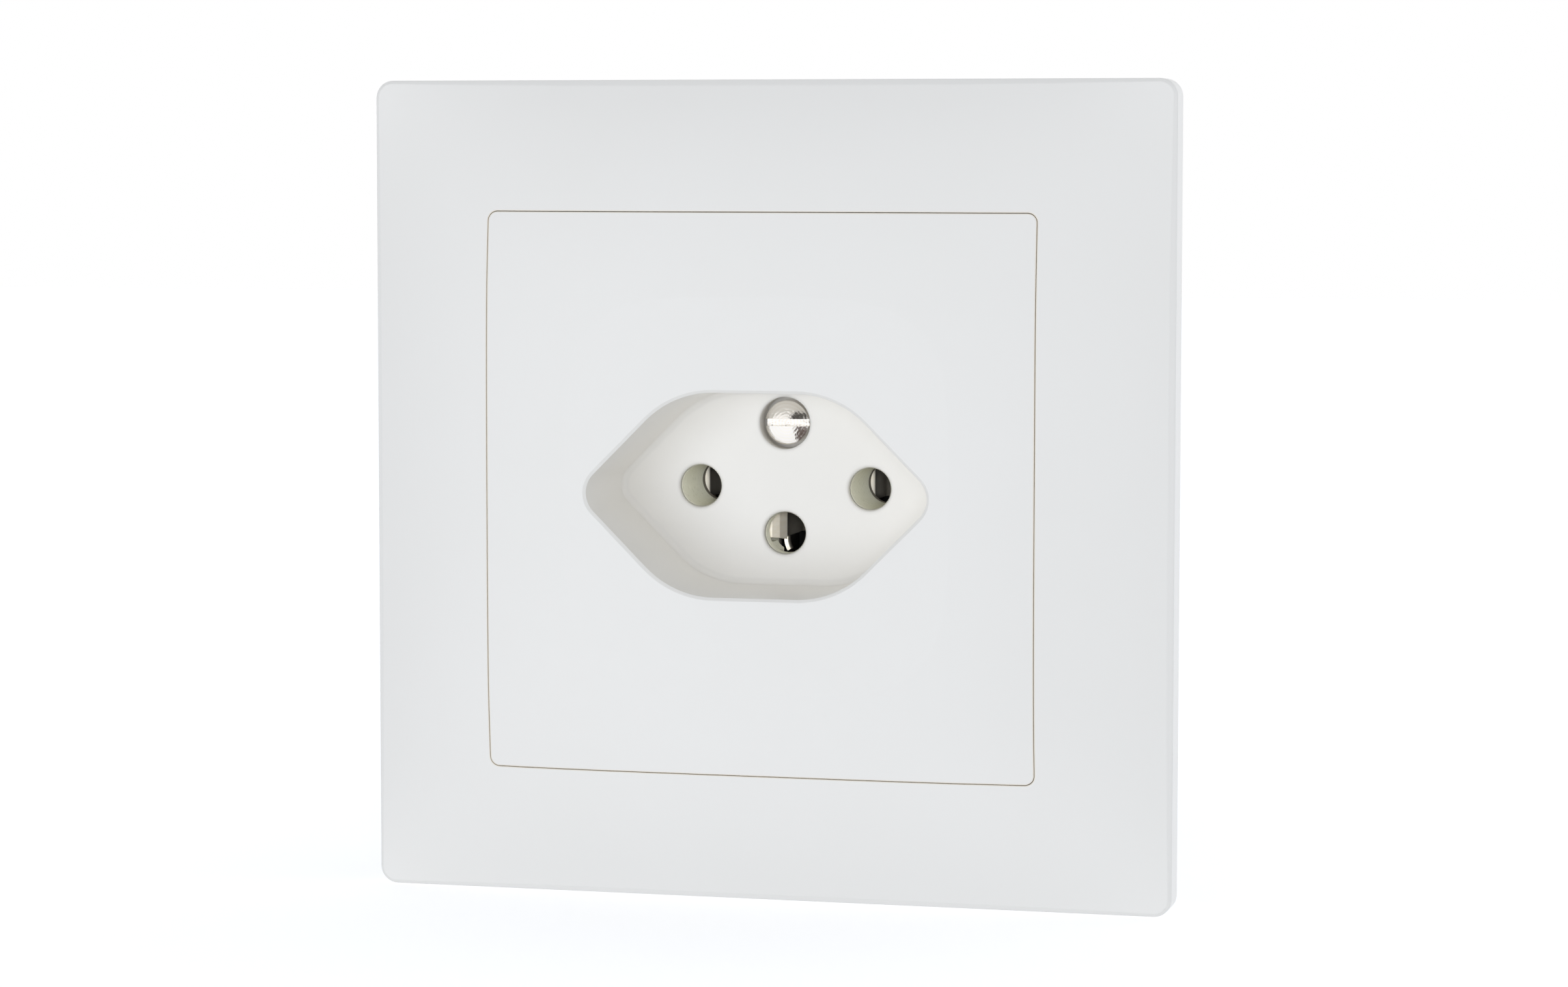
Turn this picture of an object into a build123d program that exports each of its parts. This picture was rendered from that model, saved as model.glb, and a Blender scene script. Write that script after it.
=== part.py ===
from build123d import *
from math import radians, sin, tan
import os

# Flush wall socket with one recessed three-pin outlet. Its cover frame and front plate form one cushion.
# X runs to the right, Y into the wall and Z up. The origin is the centre of the mounting
# plate's back, which lies on the wall plane y = 0. Lengths are in millimetres.

# Cover frame
frame_size = 88.0
frame_projection = 9.2
frame_side_height = 3.8
frame_crown = 5.7
frame_skin = 2.0
frame_corner_radius = 1.9
frame_shoulder = 0.3
frame_hollow_edge = 2.4
frame_hollow_rise = 3.2
frame_hollow_run = 9.8
ledge_width = 1.9
ledge_thickness = 1.6
ledge_root = 2.8
frame_rib_thickness = 1.2
frame_rib_spacing = 44.0
frame_rib_lift = 0.3
frame_rib_clearance = 0.1

# Front plate
plate_size = 59.9
plate_gap = 0.07
plate_thickness = 3.2
plate_corner_radius = 1.0
plate_rim_wall = 1.4
plate_rim_depth = 4.0
plate_rim_clearance = 0.2
plate_rib_thickness = 1.2
plate_rib_spacing = 14.0

# Plug recess, a hexagon with rounded corners that narrows to its floor, and the pot round it
recess_width = 39.65
recess_height = 21.8
recess_slant = radians(45.0)
recess_draft = 1.2
recess_tip_radius = 2.8
recess_side_radius = 10.6
recess_depth = 13.2
recess_mouth_chamfer = 0.3
recess_floor_chamfer = 0.5
pot_wall = 1.6
pot_floor = 1.6

# Plug pins and their holes
pin_pitch = 19.0
earth_offset = 5.0
pin_diameter = 4.0
pin_length = 19.0
pin_hole_diameter = 4.5
pin_hole_countersink = 0.2
pin_hole_skin = 0.45
pin_end_clearance = 0.4

# Fixing screw, its well in the recess floor and its bush in the base
screw_offset = 7.0
screw_head_diameter = 4.8
screw_head_height = 1.7
screw_head_dome = 0.35
screw_shank_diameter = 2.9
screw_length = 12.0
screw_slot_width = 0.8
screw_slot_depth = 1.0
screw_clearance = 0.15
well_clearance = 0.45
well_depth = 2.6
well_seat = 1.0
well_wall = 1.6
bush_diameter = 5.2
bush_length = 8.0
bush_clearance = 0.05
bush_wall = 1.0

# Contact cover with its spigots, and the retainer sheet behind it
cover_height = 7.35
cover_plate_thickness = 2.2
cover_clearance = 0.15
cover_block_margin = 4.0
cover_boss_clearance = 0.25
cover_corner_radius = 2.0
spigot_wall = 0.7
spigot_clearance = 0.1
spigot_gap = 0.05
snap_width = 6.0
snap_height = 0.9
snap_clearance = 0.15
retainer_sheet = 1.0
retainer_clearance = 0.1

# Socket base
base_wall = 1.8
base_floor = 4.1
base_corner_radius = 4.0
pot_clearance = 0.4
chamber_half_length = 3.2
chamber_width = 6.8
flange_reach = 1.6
flange_thickness = 1.6
flange_height = 32.0
nose_width = 6.4
nose_height = 1.0
nose_length = 2.6
nose_start = 4.0
relief_depth = 7.0
relief_rib = 1.4

# Contact springs
contact_sheet = 0.5
contact_bend_radius = 0.9
contact_preload = 0.1
contact_lip_flare = 0.45
contact_lip_clearance = 0.15
contact_lip_length = 0.75
contact_bow = 0.65
contact_bow_length = 2.2
earth_sheet = 0.4
earth_preload = 0.2
earth_lip_flare = 0.6
earth_fold_spread = 0.15
earth_bow = 0.95
earth_collar = 2.0
earth_relief = 0.2
earth_bore_depth = 5.0
earth_gap_half = 1.35
earth_lead = 3.9
earth_fold = 5.45
earth_press = 8.2
earth_bow_depth = 11.9
finger_nose = -0.85
finger_low = -1.4
finger_high = 2.6
trailing_start = 8.4
trailing_length = 1.2
trailing_top = -1.1
trailing_low = -2.6
trailing_curl = 0.35
trailing_bow = 0.12

# Cage terminals with their clamps and screws
cage_clearance = 0.2
cage_inner_wall = 0.8
cage_outer_wall = 1.8
cage_side_wall = 1.4
cage_length = 7.0
leg_side_clearance = 0.15
wire_space = 4.4
wire_width = 4.8
wire_funnel = 0.6
clamp_thickness = 0.6
clamp_lift = 0.4
clamp_side_clearance = 0.2
terminal_screw_diameter = 2.9
terminal_screw_head_diameter = 4.4
terminal_screw_head_height = 1.6
terminal_screw_lift = 0.3
terminal_screw_clearance = 0.05
terminal_slot_width = 0.8
terminal_slot_depth = 0.8
driver_clearance = 0.3

# Mounting plate
mounting_plate_size = 74.0
mounting_sheet = 1.2
mounting_corner_radius = 4.0
mounting_clearance = 0.3
box_screw_spacing = 60.0
box_slot_width = 4.2
box_slot_length = 5.6
tab_width = 12.0
tab_length = 9.0
tab_bend_radius = 1.0
tab_relief_width = 1.0
tab_relief_depth = 1.6
tab_window_clearance = 0.15

# Depths, from the face back to the rear of the base
face_y = -frame_projection
plate_back_y = face_y + plate_thickness
ledge_back_y = plate_back_y + ledge_thickness
floor_y = face_y + recess_depth
pot_back_y = floor_y + pot_floor
well_seat_y = floor_y + well_depth
well_back_y = well_seat_y + well_seat
cover_back_y = pot_back_y + cover_height
cover_plate_y = cover_back_y - cover_plate_thickness
spigot_y = floor_y + pin_hole_skin + spigot_gap
retainer_back_y = cover_back_y + retainer_sheet
web_y = floor_y + pin_length + pin_end_clearance
chamber_floor_y = web_y + contact_sheet
base_back_y = chamber_floor_y + base_floor
cage_back_y = web_y - contact_bend_radius + contact_sheet / 2
cage_front_y = cage_back_y - cage_length
cage_mid_y = cage_back_y - cage_length / 2

# Sizes across the face
frame_half = frame_size / 2
window_size = plate_size + 2 * plate_gap
ledge_opening = window_size - 2 * ledge_width
rim_size = ledge_opening - 2 * plate_rim_clearance
well_diameter = screw_head_diameter + 2 * well_clearance
boss_diameter = well_diameter + 2 * well_wall
spigot_size = pin_hole_diameter + 2 * spigot_wall
pin_points = ((-pin_pitch / 2, 0), (pin_pitch / 2, 0), (0, -earth_offset))
screw_hole_diameter = screw_shank_diameter + 2 * screw_clearance

# Distances of the terminal's pieces from the middle of the socket
pin_radius = {"line": pin_pitch / 2, "neutral": pin_pitch / 2, "earth": earth_offset}
terminal_start = pin_pitch / 2 + chamber_half_length
cage_start = terminal_start + cage_clearance
leg_start = cage_start + cage_inner_wall
wire_start = leg_start + contact_sheet
clamp_start = wire_start + wire_space
clamp_end = clamp_start + clamp_thickness
cage_window_end = clamp_end + clamp_lift
cage_end = cage_window_end + cage_outer_wall
terminal_end = cage_end + cage_clearance
cage_width = wire_width + 2 * cage_side_wall
strip_width = wire_width - 2 * leg_side_clearance
terminal_width = cage_width + 2 * cage_clearance

# The base holds the pot and the terminals
pot_tip_trim = (1 / sin(recess_slant) - 1) * (recess_tip_radius + pot_wall)
pot_reach = recess_width / 2 + pot_wall / sin(recess_slant) - pot_tip_trim
base_half = max(terminal_end, pot_reach + pot_clearance) + base_wall
cavity_size = 2 * (base_half - base_wall)
opening_half = base_half + mounting_clearance

# Directions from the middle of the socket to each terminal
into_wall = Vector(0, 1, 0)
outward = {"line": Vector(-1, 0, 0), "neutral": Vector(1, 0, 0), "earth": Vector(0, 0, -1)}

os.makedirs("parts", exist_ok=True)


def depth_plane(y):
    """Upright plane at depth y: its own x and y are the row's X and Z, and it extrudes to the room."""
    return Plane.XZ.offset(-y)


def inward_plane(y):
    """Upright plane at depth y that extrudes into the wall."""
    return Plane(origin=(0, y, 0), x_dir=(1, 0, 0), z_dir=into_wall)


def pole_plane(pole, y):
    """Upright plane at depth y with its x towards the terminal, which extrudes into the wall."""
    return Plane(origin=(0, y, 0), x_dir=outward[pole], z_dir=into_wall)


def pole_section(pole):
    """Plane through the pin and its terminal: x runs to the terminal and y into the wall."""
    return Plane(origin=(0, 0, 0), x_dir=outward[pole], z_dir=outward[pole].cross(into_wall))


def terminal_screw_plane(pole, reach):
    """Plane across the terminal screw's axis at this distance from the middle, facing outwards."""
    origin = outward[pole] * reach + into_wall * cage_mid_y
    return Plane(origin=origin, x_dir=into_wall, z_dir=outward[pole])


def plug_outline(grow):
    """Hexagonal outline of the plug recess, moved outwards by grow."""
    half_height = recess_height / 2 + grow
    half_width = recess_width / 2 + grow / sin(recess_slant)
    flat = half_width - half_height / tan(recess_slant)
    with BuildSketch() as outline:
        with BuildLine():
            Polyline(
                (half_width, 0),
                (flat, half_height),
                (-flat, half_height),
                (-half_width, 0),
                (-flat, -half_height),
                (flat, -half_height),
                close=True,
            )
        make_face()
        tips = outline.vertices().sort_by(Axis.X)
        fillet((tips[0], tips[-1]), radius=recess_tip_radius + grow)
        rows = outline.vertices().group_by(Axis.Y)
        fillet(rows[0] + rows[-1], radius=recess_side_radius + grow)
    return outline.sketch


def crown_block(edge_y):
    """Block with a cushion-shaped front that swells from straight edges at depth edge_y.

    The front is one sheet over a net of five by five points. Its four inner points pull it forward,
    so that it rises as (1 - u**4) * (1 - v**4): nearly level in the middle, and steepest at the edges.
    """
    steps = (-1, -0.5, 0, 0.5, 1)
    pulls = (0, 2, 0, 2, 0)
    net = []
    for u, pull_u in zip(steps, pulls):
        row = []
        for v, pull_v in zip(steps, pulls):
            rise = frame_crown * pull_u * pull_v
            row.append((u * frame_half, edge_y - rise, v * frame_half))
        net.append(row)
    with BuildPart() as block:
        extrude(Face.make_bezier_surface(net), amount=frame_size, dir=into_wall)
    return block.part


# Hollow behind the frame's skin, with the stiffening ribs left standing
core_half = frame_half - frame_skin
rib_start = mounting_plate_size / 2 + frame_rib_clearance
rib_length = frame_half - rib_start
with BuildPart() as frame_core:
    with BuildSketch(depth_plane(frame_skin)):
        Rectangle(2 * core_half, 2 * core_half)
    extrude(amount=frame_skin + frame_hollow_edge + frame_hollow_rise)
    core_front = frame_core.faces().sort_by(Axis.Y)[0]
    chamfer(core_front.edges(), length=frame_hollow_run, length2=frame_hollow_rise, reference=core_front)
    with BuildSketch(depth_plane(ledge_back_y)):
        Rectangle(window_size + 2 * ledge_root, window_size + 2 * ledge_root)
    extrude(amount=frame_projection, mode=Mode.SUBTRACT)
    with BuildSketch(depth_plane(-frame_rib_lift)):
        for side in (-1, 1):
            with Locations((side * (rib_start + rib_length / 2), 0)):
                with GridLocations(0, frame_rib_spacing, 1, 2):
                    Rectangle(rib_length, frame_rib_thickness)
            with Locations((0, side * (rib_start + rib_length / 2))):
                with GridLocations(frame_rib_spacing, 0, 2, 1):
                    Rectangle(frame_rib_thickness, rib_length)
    extrude(amount=frame_projection, mode=Mode.SUBTRACT)

# Cover frame: cushion-shaped ring with bevelled shoulders, hollow behind
shoulder_cut = 3 * frame_shoulder
with BuildPart() as cover_frame:
    with BuildSketch(depth_plane(0)):
        RectangleRounded(frame_size, frame_size, frame_corner_radius)
    extrude(amount=frame_side_height - frame_shoulder + shoulder_cut)
    blank_front = cover_frame.faces().sort_by(Axis.Y)[0]
    chamfer(blank_front.edges(), length=shoulder_cut)
    extrude(cover_frame.faces().sort_by(Axis.Y)[0], amount=frame_projection)
    add(crown_block(-frame_side_height), mode=Mode.INTERSECT)
    add(frame_core.part, mode=Mode.SUBTRACT)
    with BuildSketch(depth_plane(plate_back_y)):
        RectangleRounded(window_size, window_size, plate_corner_radius + plate_gap)
    extrude(amount=frame_projection, mode=Mode.SUBTRACT)
    with BuildSketch(depth_plane(0)):
        RectangleRounded(ledge_opening, ledge_opening, plate_corner_radius)
    extrude(amount=frame_projection, mode=Mode.SUBTRACT)
cover_frame.part.label = "cover_frame"
export_step(cover_frame.part, "parts/cover_frame.step")

# Front plate: it carries the frame's cushion on, cut level round the recess, with the drafted hexagonal
# pot, the rim that sits in the frame's ledge, and the screw well. The pin holes are countersunk, and
# behind each the floor is sunk for the contact cover's spigot.
recess_outline = plug_outline(0)
pot_draft_loss = (pot_back_y - face_y) * tan(radians(recess_draft))
pot_outline = plug_outline(pot_wall - pot_draft_loss)
with BuildPart() as front_plate:
    with BuildSketch(depth_plane(plate_back_y)):
        RectangleRounded(plate_size, plate_size, plate_corner_radius)
    extrude(amount=plate_thickness)
    with BuildSketch(depth_plane(plate_back_y + plate_rim_depth)):
        RectangleRounded(rim_size, rim_size, plate_corner_radius)
        Rectangle(rim_size - 2 * plate_rim_wall, rim_size - 2 * plate_rim_wall, mode=Mode.SUBTRACT)
        Rectangle(rim_size - plate_rim_wall, plate_rib_thickness)
        with GridLocations(plate_rib_spacing, 0, 2, 1):
            Rectangle(plate_rib_thickness, rim_size - plate_rim_wall)
    extrude(amount=plate_rim_depth)
    with BuildSketch(inward_plane(face_y)):
        add(pot_outline)
    extrude(amount=pot_back_y - face_y)
    with BuildSketch(depth_plane(well_back_y)):
        with Locations((0, screw_offset)):
            Circle(boss_diameter / 2)
    extrude(amount=well_back_y - pot_back_y)
    add(crown_block(-frame_side_height), mode=Mode.INTERSECT)
    with BuildSketch(inward_plane(face_y)):
        add(recess_outline)
    extrude(amount=recess_depth, taper=recess_draft, mode=Mode.SUBTRACT)
    floor_edges = front_plate.edges().filter_by_position(Axis.Y, floor_y - 0.01, floor_y + 0.01)
    chamfer(floor_edges, length=recess_floor_chamfer)
    level = front_plate.faces().filter_by(GeomType.PLANE).sort_by(Axis.Y)[0]
    chamfer(level.inner_wires()[0].edges(), length=recess_mouth_chamfer)
    with Locations(depth_plane(floor_y + pin_hole_skin)):
        with Locations(*pin_points):
            Cone(
                bottom_radius=pin_hole_diameter / 2,
                top_radius=pin_hole_diameter / 2 + pin_hole_countersink,
                height=pin_hole_skin,
                align=(Align.CENTER, Align.CENTER, Align.MIN),
                mode=Mode.SUBTRACT,
            )
    with BuildSketch(depth_plane(pot_back_y)):
        with Locations(*pin_points):
            Rectangle(spigot_size + 2 * spigot_clearance, spigot_size + 2 * spigot_clearance)
    extrude(amount=pot_floor - pin_hole_skin, mode=Mode.SUBTRACT)
    with BuildSketch(depth_plane(well_seat_y)):
        with Locations((0, screw_offset)):
            Circle(well_diameter / 2)
    extrude(amount=well_depth + recess_floor_chamfer, mode=Mode.SUBTRACT)
    with BuildSketch(depth_plane(well_back_y)):
        with Locations((0, screw_offset)):
            Circle(screw_hole_diameter / 2)
    extrude(amount=well_seat, mode=Mode.SUBTRACT)
front_plate.part.label = "front_plate"
export_step(front_plate.part, "parts/front_plate.step")

# Fixing screw: domed slotted head on the well's seat, turned about an axis into the wall
head_rim_y = well_seat_y - screw_head_height
screw_end_y = well_seat_y + screw_length
head_radius = screw_head_diameter / 2
shank_radius = screw_shank_diameter / 2
with BuildPart() as fixing_screw:
    with BuildSketch(Plane.XY.offset(screw_offset)):
        with BuildLine():
            TangentArc((0, head_rim_y - screw_head_dome), (head_radius, head_rim_y), tangent=(1, 0))
            Polyline(
                (head_radius, head_rim_y),
                (head_radius, well_seat_y),
                (shank_radius, well_seat_y),
                (shank_radius, screw_end_y),
                (0, screw_end_y),
                (0, head_rim_y - screw_head_dome),
            )
        make_face()
    revolve(axis=Axis((0, 0, screw_offset), (0, 1, 0)))
    with BuildSketch(depth_plane(head_rim_y - screw_head_dome + screw_slot_depth)):
        with Locations((0, screw_offset)):
            Rectangle(screw_head_diameter, screw_slot_width)
    extrude(amount=screw_slot_depth, mode=Mode.SUBTRACT)
fixing_screw.part.label = "fixing_screw"
export_step(fixing_screw.part, "parts/fixing_screw.step")

# Threaded bush: brass bush pressed into the base
with BuildPart() as threaded_bush:
    with BuildSketch(depth_plane(cover_back_y + bush_length)):
        with Locations((0, screw_offset)):
            Circle(bush_diameter / 2)
            Circle(shank_radius + bush_clearance, mode=Mode.SUBTRACT)
    extrude(amount=bush_length)
threaded_bush.part.label = "threaded_bush"
export_step(threaded_bush.part, "parts/threaded_bush.step")

# Contact cover: plate in the base's well, a block under the pot with a square spigot round each pin's
# bore, and a snap nose at the top and at the bottom
earth_grip = pin_diameter / 2 - earth_preload + earth_sheet / 2
earth_lip = earth_grip + earth_lip_flare
earth_pocket_half = earth_lip + earth_sheet / 2 + cover_clearance
finger_pocket_top = finger_high + cover_clearance
finger_pocket_low = finger_nose - earth_sheet
trailing_pocket_low = trailing_low - earth_sheet
block_width = pin_pitch + 2 * cover_block_margin
block_top = screw_offset + boss_diameter / 2 + cover_boss_clearance + pot_wall
block_low = trailing_pocket_low - earth_offset - pot_wall
cover_half = cavity_size / 2 - cover_clearance
with BuildPart() as contact_cover:
    with BuildSketch(depth_plane(cover_back_y)):
        RectangleRounded(2 * cover_half, 2 * cover_half, cover_corner_radius - cover_clearance)
    extrude(amount=cover_plate_thickness)
    for side in (-1, 1):
        with BuildSketch(Plane.YZ.offset(-snap_width / 2)):
            with BuildLine():
                Polyline(
                    (cover_plate_y, side * (cover_half - cover_clearance)),
                    (cover_plate_y, side * (cover_half + snap_height)),
                    (cover_back_y, side * cover_half),
                    (cover_back_y, side * (cover_half - cover_clearance)),
                    close=True,
                )
            make_face()
        extrude(amount=snap_width)
    with BuildSketch(depth_plane(cover_plate_y)):
        with Locations((0, (block_top + block_low) / 2)):
            Rectangle(block_width, block_top - block_low)
    extrude(amount=cover_plate_y - pot_back_y)
    with BuildSketch(depth_plane(pot_back_y)):
        with Locations(*pin_points):
            Rectangle(spigot_size, spigot_size)
    extrude(amount=pot_back_y - spigot_y)
    with BuildSketch(depth_plane(cover_back_y)):
        with Locations(*pin_points):
            Circle(pin_hole_diameter / 2)
        with Locations((0, screw_offset)):
            Circle(screw_hole_diameter / 2)
    extrude(amount=cover_back_y - spigot_y, mode=Mode.SUBTRACT)
    with BuildSketch(depth_plane(cover_back_y)):
        with Locations((0, (finger_pocket_top + finger_pocket_low) / 2 - earth_offset)):
            Rectangle(2 * earth_pocket_half, finger_pocket_top - finger_pocket_low)
        with Locations((0, trailing_pocket_low / 2 - earth_offset)):
            Rectangle(2 * earth_gap_half, -trailing_pocket_low)
        with Locations((0, -earth_offset)):
            Circle(pin_hole_diameter / 2 + earth_relief)
    extrude(amount=cover_back_y - floor_y - earth_collar, mode=Mode.SUBTRACT)
    with BuildSketch(depth_plane(cover_back_y)):
        with Locations((0, (finger_pocket_top + trailing_pocket_low) / 2 - earth_offset)):
            Rectangle(2 * earth_pocket_half, finger_pocket_top - trailing_pocket_low)
    extrude(amount=cover_back_y - floor_y - earth_bore_depth, mode=Mode.SUBTRACT)
    with BuildSketch(depth_plane(well_back_y + cover_boss_clearance)):
        with Locations((0, screw_offset)):
            Circle(boss_diameter / 2 + cover_boss_clearance)
    extrude(amount=well_back_y + cover_boss_clearance - pot_back_y, mode=Mode.SUBTRACT)
contact_cover.part.label = "contact_cover"
export_step(contact_cover.part, "parts/contact_cover.step")

# Contact retainer: insulating sheet that lies in the base under the cover and keeps the springs in place
retainer_top = screw_offset - bush_diameter / 2 - bush_wall
retainer_height = retainer_top - block_low
retainer_middle = (retainer_top + block_low) / 2
with BuildPart() as contact_retainer:
    with BuildSketch(depth_plane(retainer_back_y)):
        with Locations((0, retainer_middle)):
            Rectangle(block_width, retainer_height)
        with GridLocations(pin_pitch, 0, 2, 1):
            Circle(pin_hole_diameter / 2, mode=Mode.SUBTRACT)
        with Locations((0, (finger_pocket_top + trailing_pocket_low) / 2 - earth_offset)):
            Rectangle(2 * earth_pocket_half, finger_pocket_top - trailing_pocket_low, mode=Mode.SUBTRACT)
    extrude(amount=retainer_sheet)
contact_retainer.part.label = "contact_retainer"
export_step(contact_retainer.part, "parts/contact_retainer.step")

# Mounting plate: sheet on the wall with slots for the box screws and two bent tabs for the base
nose_end = nose_start + nose_length
with BuildPart() as mounting_plate:
    with BuildSketch(depth_plane(0)):
        RectangleRounded(mounting_plate_size, mounting_plate_size, mounting_corner_radius)
        Rectangle(2 * opening_half, 2 * opening_half, mode=Mode.SUBTRACT)
        with GridLocations(box_screw_spacing, 0, 2, 1):
            SlotOverall(box_slot_length, box_slot_width, mode=Mode.SUBTRACT)
        with GridLocations(0, box_screw_spacing, 1, 2):
            SlotOverall(box_slot_length, box_slot_width, rotation=90, mode=Mode.SUBTRACT)
        with GridLocations(tab_width + tab_relief_width, 2 * opening_half, 2, 2):
            Rectangle(tab_relief_width, 2 * tab_relief_depth, mode=Mode.SUBTRACT)
    extrude(amount=mounting_sheet)
    for side in (-1, 1):
        with BuildSketch(depth_plane(tab_length)):
            with Locations((0, side * (opening_half + mounting_sheet / 2))):
                Rectangle(tab_width, mounting_sheet)
        extrude(amount=tab_length + mounting_sheet)
    bends = mounting_plate.edges().filter_by(Axis.X).group_by(Axis.Y)[0]
    bends = bends.filter_by(lambda edge: abs(abs(edge.center().Z) - opening_half) < 0.01)
    bends = bends.filter_by(lambda edge: edge.length < tab_width + 0.01)
    fillet(bends, radius=tab_bend_radius)
    with BuildSketch(Plane.XY.offset(-mounting_plate_size)):
        with Locations((0, (nose_start + nose_end) / 2)):
            window_length = nose_length + 2 * tab_window_clearance
            Rectangle(nose_width + 2 * tab_window_clearance, window_length)
    extrude(amount=2 * mounting_plate_size, mode=Mode.SUBTRACT)
mounting_plate.part.label = "mounting_plate"
export_step(mounting_plate.part, "parts/mounting_plate.step")

# Socket base: moulded cup, open to the front, with a chamber and a terminal pocket for each pole
relief_near = terminal_width / 2 + base_wall
relief_far = base_half - base_wall
relief_length = relief_far - relief_near
relief_width = (relief_length - relief_rib) / 2
with BuildPart() as socket_base:
    with BuildSketch(depth_plane(base_back_y)):
        RectangleRounded(2 * base_half, 2 * base_half, base_corner_radius)
    extrude(amount=base_back_y)
    with BuildSketch(depth_plane(flange_thickness)):
        RectangleRounded(2 * (opening_half + flange_reach), flange_height, flange_thickness)
    extrude(amount=flange_thickness)
    for side in (-1, 1):
        with BuildSketch(Plane.YZ.offset(-nose_width / 2)):
            with BuildLine():
                Polyline(
                    (nose_start, side * base_half),
                    (nose_end, side * (base_half + mounting_clearance + nose_height)),
                    (nose_end, side * (base_half - base_wall)),
                    (nose_start, side * (base_half - base_wall)),
                    close=True,
                )
            make_face()
        extrude(amount=nose_width)
    with BuildSketch(depth_plane(cover_back_y)):
        RectangleRounded(cavity_size, cavity_size, cover_corner_radius)
    extrude(amount=cover_back_y, mode=Mode.SUBTRACT)
    for pole in outward:
        chamber_start = pin_radius[pole] - chamber_half_length
        with BuildSketch(pole_plane(pole, cover_back_y)):
            with Locations(((chamber_start + terminal_start) / 2, 0)):
                Rectangle(terminal_start - chamber_start, chamber_width)
            with Locations(((terminal_start + terminal_end) / 2, 0)):
                Rectangle(terminal_end - terminal_start, terminal_width)
        extrude(amount=chamber_floor_y - cover_back_y, mode=Mode.SUBTRACT)
        with BuildSketch(pole_plane(pole, chamber_floor_y)):
            with Locations((wire_start + wire_space / 2, 0)):
                Rectangle(wire_space, wire_width)
        extrude(amount=base_floor, mode=Mode.SUBTRACT)
        with BuildSketch(terminal_screw_plane(pole, terminal_end)):
            Circle(terminal_screw_head_diameter / 2 + driver_clearance)
        extrude(amount=base_wall, mode=Mode.SUBTRACT)
    rear = socket_base.faces().sort_by(Axis.Y)[-1]
    for entry in rear.inner_wires():
        chamfer(entry.edges(), length=wire_funnel)
    with BuildSketch(depth_plane(base_back_y)):
        for side in (-1, 1):
            with GridLocations(relief_near + relief_far, relief_near + relief_far, 2, 2):
                with Locations((side * (relief_width + relief_rib) / 2, 0)):
                    Rectangle(relief_width, relief_length)
    extrude(amount=relief_depth, mode=Mode.SUBTRACT)
    with BuildSketch(depth_plane(cover_back_y + bush_length)):
        with Locations((0, screw_offset)):
            Circle(bush_diameter / 2 + bush_clearance)
    extrude(amount=bush_length, mode=Mode.SUBTRACT)
    with BuildSketch(depth_plane(retainer_back_y)):
        with Locations((0, retainer_middle)):
            retainer_seat_height = retainer_height + 2 * retainer_clearance
            Rectangle(block_width + 2 * retainer_clearance, retainer_seat_height)
    extrude(amount=retainer_sheet, mode=Mode.SUBTRACT)
    with BuildSketch(Plane.XY.offset(-base_half)):
        with Locations((0, (cover_plate_y + cover_back_y - snap_clearance) / 2)):
            snap_window_length = cover_plate_thickness + snap_clearance
            Rectangle(snap_width + 2 * snap_clearance, snap_window_length)
    extrude(amount=2 * base_half, mode=Mode.SUBTRACT)
socket_base.part.label = "socket_base"
export_step(socket_base.part, "parts/socket_base.step")

# Line and neutral contacts: bowed fork springs bent from strip, with a leg into the terminal cage
grip = pin_diameter / 2 - contact_preload + contact_sheet / 2
lip_y = retainer_back_y + contact_lip_clearance
grip_y = lip_y + contact_lip_length
bow_y = grip_y + contact_bow_length
bow = grip + contact_bow
web_mid_y = web_y + contact_sheet / 2
leg_mid = leg_start + contact_sheet / 2
for pole in ("line", "neutral"):
    with BuildPart() as contact:
        with BuildSketch(pole_section(pole)):
            with BuildLine():
                FilletPolyline(
                    (pin_radius[pole] - grip - contact_lip_flare, lip_y),
                    (pin_radius[pole] - grip, grip_y),
                    (pin_radius[pole] - bow, bow_y),
                    (pin_radius[pole] - bow, web_mid_y),
                    (leg_mid, web_mid_y),
                    (leg_mid, cage_front_y),
                    radius=contact_bend_radius,
                )
            trace(line_width=contact_sheet)
            with BuildLine():
                FilletPolyline(
                    (pin_radius[pole] + grip + contact_lip_flare, lip_y),
                    (pin_radius[pole] + grip, grip_y),
                    (pin_radius[pole] + bow, bow_y),
                    (pin_radius[pole] + bow, web_mid_y),
                    radius=contact_bend_radius,
                )
            trace(line_width=contact_sheet)
        extrude(amount=strip_width / 2, both=True)
    contact.part.label = f"{pole}_contact"
    export_step(contact.part, f"parts/{pole}_contact.step")

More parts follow.
